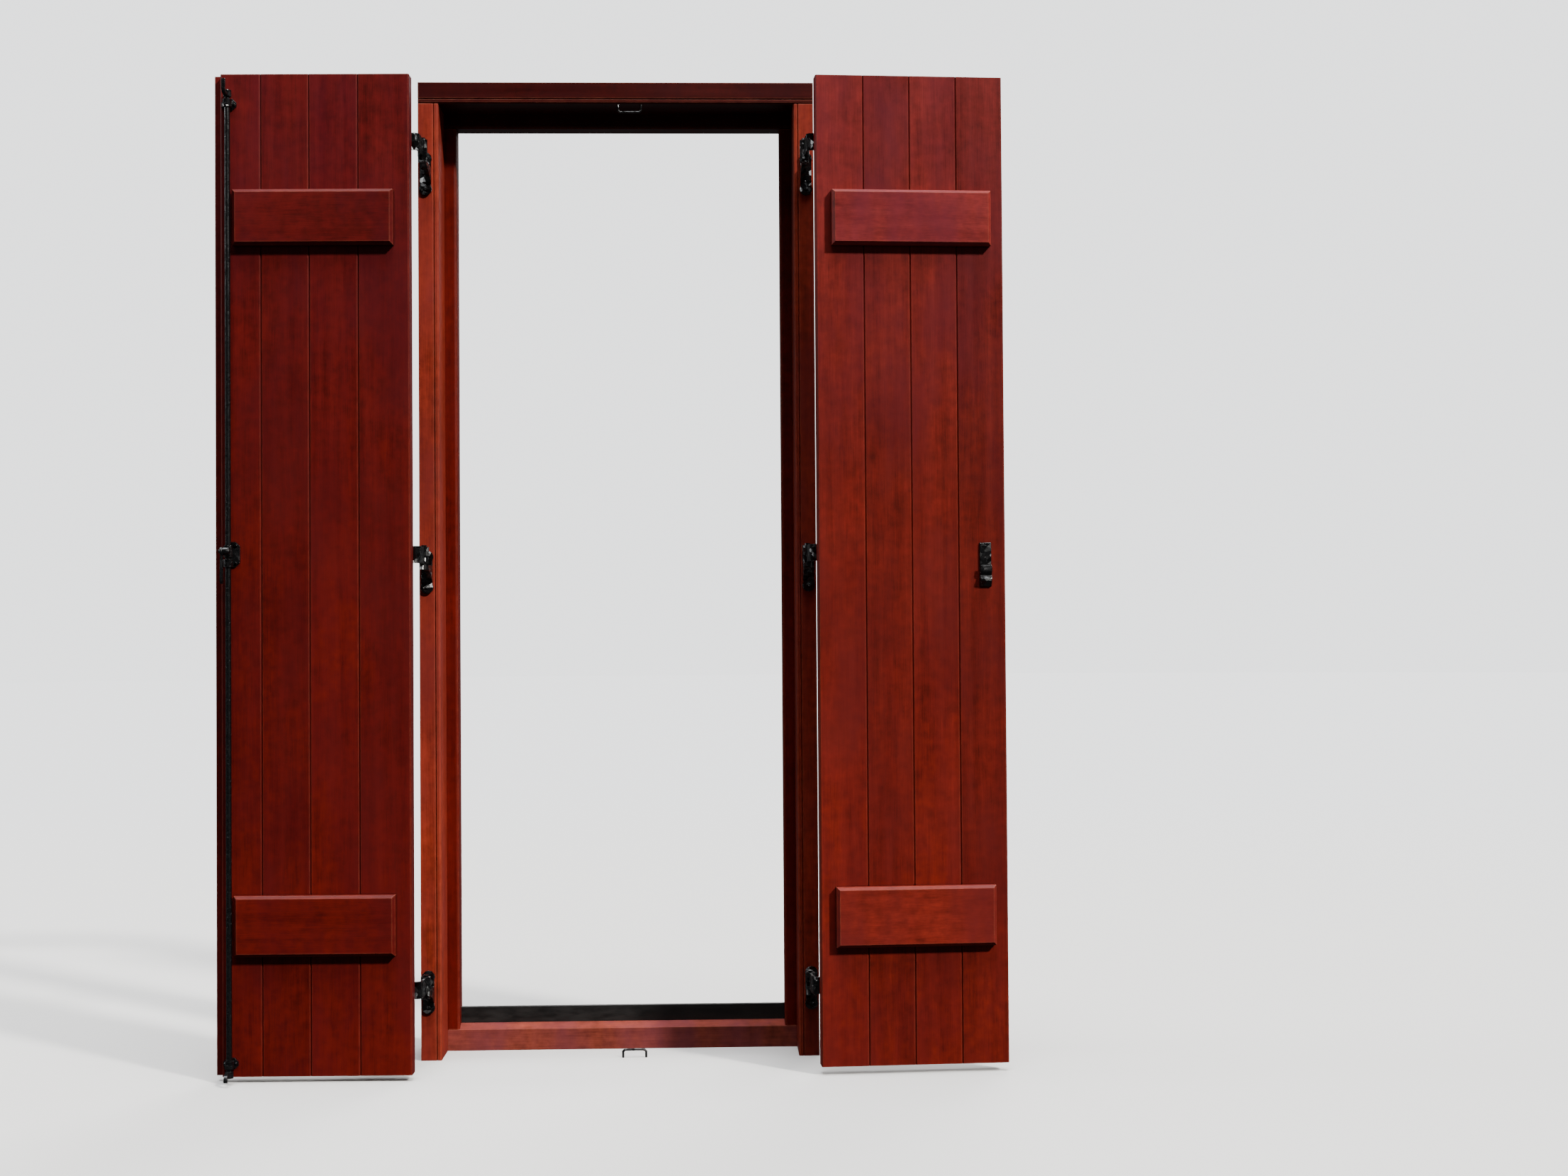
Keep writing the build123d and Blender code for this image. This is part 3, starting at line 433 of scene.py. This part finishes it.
def wood_tone(seed):
    """A factor for the colour, from one end of the spread to the other."""
    place = seed * TONE_STRIDE % TONE_COUNT / (TONE_COUNT - 1)
    return 1.0 + TONE_SPREAD * (2 * place - 1)


def is_wood(node):
    kinds = ("board", "batten_upper", "batten_lower", "casing", "window")
    return any(kind in node for kind in kinds)


def dress_wood():
    """Each wooden piece gets its own cut of wood, with the grain along its length and its own tone."""
    for seed, node in enumerate((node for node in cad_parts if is_wood(node)), 1):
        along = "Z" if "board" in node or "jamb" in node else "X"
        body = scaled(wood_colour(node), wood_tone(seed))
        dress(node, varnished_wood("wood_" + node, body, along, seed, wood_wear_and_painted_light(node), painted_sky_on(node)))


def dress_metal():
    """Hinge brackets, straps and their screws are hammered, the rod is drawn, and other iron is forged."""
    hammered = black_iron("hammered_iron", HAMMERED_SLOPE)
    forged = black_iron("forged_iron", FORGED_SLOPE)
    drawn = black_iron("drawn_iron", DRAWN_SLOPE)
    dress("threshold_strip", dusty_strip("dusty_strip"))
    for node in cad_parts:
        if node == "locking_rod":
            dress(node, drawn)
        elif "strap" in node or "bracket" in node:
            dress(node, hammered)
        elif node != "threshold_strip" and not is_wood(node):
            dress(node, forged)


def add_jamb_ends():
    """The tops of the window jambs, which fill the ends of the head's sash rebate."""
    spans = (JAMB_END_X, JAMB_END_Y, JAMB_END_Z)
    middle = [(low + high) / 2 for low, high in spans]
    size = [high - low for low, high in spans]
    for seed, (side, name) in enumerate(((-1, "left"), (1, "right")), JAMB_END_SEED):
        shape = bmesh.new()
        bmesh.ops.create_cube(shape, size=1)
        bmesh.ops.scale(shape, vec=size, verts=shape.verts)
        bmesh.ops.translate(shape, vec=(side * middle[0], *middle[1:]), verts=shape.verts)
        bmesh.ops.bevel(shape, geom=shape.edges, offset=JAMB_END_EASING,
                        segments=JAMB_END_EASING_STEPS, affect="EDGES")
        mesh = bpy.data.meshes.new("window_jamb_end_" + name)
        shape.to_mesh(mesh)
        shape.free()
        piece = bpy.data.objects.new(mesh.name, mesh)
        bpy.context.collection.objects.link(piece)
        mesh.materials.append(varnished_wood("wood_" + piece.name, WINDOW, "Z", seed, FRAME_WEAR_AND_PAINTED_LIGHT))
        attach(piece, "frame")


# Floor, light and camera

def add_floor():
    """A wide round floor whose glow lights nothing."""
    bpy.ops.mesh.primitive_circle_add(radius=BACKDROP_RADIUS, vertices=FLOOR_SIDES, fill_type="NGON")
    floor = bpy.context.object
    floor.name = "floor"
    floor.data.materials.append(floor_material())
    floor.visible_diffuse = False
    floor.visible_glossy = False


def add_backdrop():
    """A wide round backdrop that only the camera sees, so that it lights nothing."""
    bpy.ops.mesh.primitive_uv_sphere_add(
        radius=BACKDROP_RADIUS, segments=BACKDROP_SEGMENTS, ring_count=BACKDROP_RINGS)
    backdrop = bpy.context.object
    backdrop.name = "backdrop"
    backdrop.data.materials.append(backdrop_material())
    backdrop.visible_diffuse = False
    backdrop.visible_glossy = False
    backdrop.visible_transmission = False
    backdrop.visible_shadow = False


def far_light(name, place, spread, strength, tint):
    """A large lamp far off, in the direction of a place, that lights the whole floor alike."""
    data = bpy.data.lights.new(name, "SUN")
    data.angle = math.radians(spread)
    data.energy = strength
    data.color = tint
    lamp = bpy.data.objects.new(name, data)
    lamp.location = place
    lamp.rotation_euler = (-Vector(place)).to_track_quat("-Z", "Y").to_euler()
    bpy.context.collection.objects.link(lamp)


def add_light():
    """A faint even light from all around, and the lamps."""
    world = bpy.data.worlds.new("studio")
    world.use_nodes = True
    background = world.node_tree.nodes["Background"]
    background.inputs["Color"].default_value = colour(STUDIO_PALE)
    background.inputs["Strength"].default_value = WORLD_STRENGTH
    bpy.context.scene.world = world
    for name, lamp in LAMPS.items():
        far_light(name, *lamp)


def add_camera():
    forward = Vector((
        math.sin(CAMERA_YAW) * math.cos(CAMERA_PITCH),
        math.cos(CAMERA_YAW) * math.cos(CAMERA_PITCH),
        math.sin(CAMERA_PITCH)))
    level = Vector((math.cos(CAMERA_YAW), -math.sin(CAMERA_YAW), 0))
    raised = level.cross(forward)
    right = level * math.cos(CAMERA_ROLL) + raised * math.sin(CAMERA_ROLL)
    up = raised * math.cos(CAMERA_ROLL) - level * math.sin(CAMERA_ROLL)
    data = bpy.data.cameras.new("camera")
    data.sensor_width = SENSOR_WIDTH_MM
    data.lens = data.sensor_width * FOCAL_LENGTH_PX / PHOTO_WIDTH_PX
    data.clip_end = VIEW_END
    camera = bpy.data.objects.new("camera", data)
    turned = Matrix((right, up, -forward)).transposed().to_4x4()
    camera.matrix_world = Matrix.Translation(CAMERA_PLACE) @ turned
    bpy.context.collection.objects.link(camera)
    bpy.context.scene.camera = camera


dress_wood()
dress_metal()
add_jamb_ends()
add_floor()
add_backdrop()
add_light()
add_camera()
